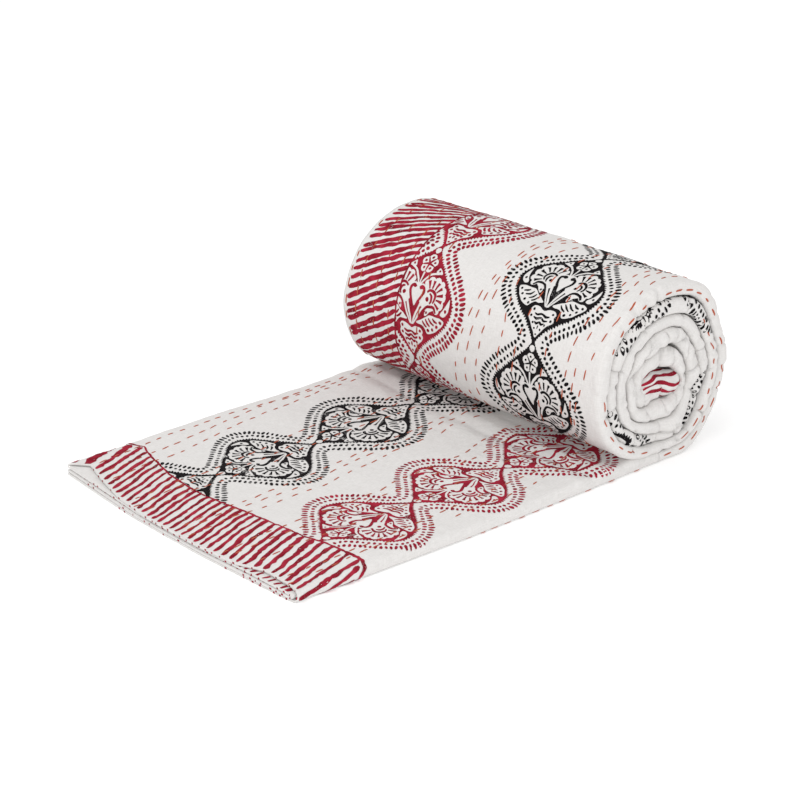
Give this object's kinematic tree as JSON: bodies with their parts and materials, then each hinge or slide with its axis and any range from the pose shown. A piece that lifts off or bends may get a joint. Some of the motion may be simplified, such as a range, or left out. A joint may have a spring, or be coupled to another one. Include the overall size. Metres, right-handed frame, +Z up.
{
  "type": "block print bedspread",
  "caption": "Block printed quilted cotton bedspread, folded lengthwise, rolled up, with its loose end lying flat.",
  "frame": {"origin": "on the floor, under the middle of the whole part's bounding box", "axes": "+X from the cloth's loose flat end towards the roll, +Y along the roll from its folded near side to its hemmed far side, +Z up"},
  "size_m": [0.5794, 0.386, 0.1885],
  "materials": {
    "printed_cotton": "matt plain-weave cotton, off-white, hand block printed in crimson and charcoal black",
    "stitch_thread": "orange-red cotton running stitch thread, slightly glossy"
  },
  "bodies": {
    "root": {"roll": "printed_cotton", "tail": "printed_cotton"}
  },
  "joints": []
}
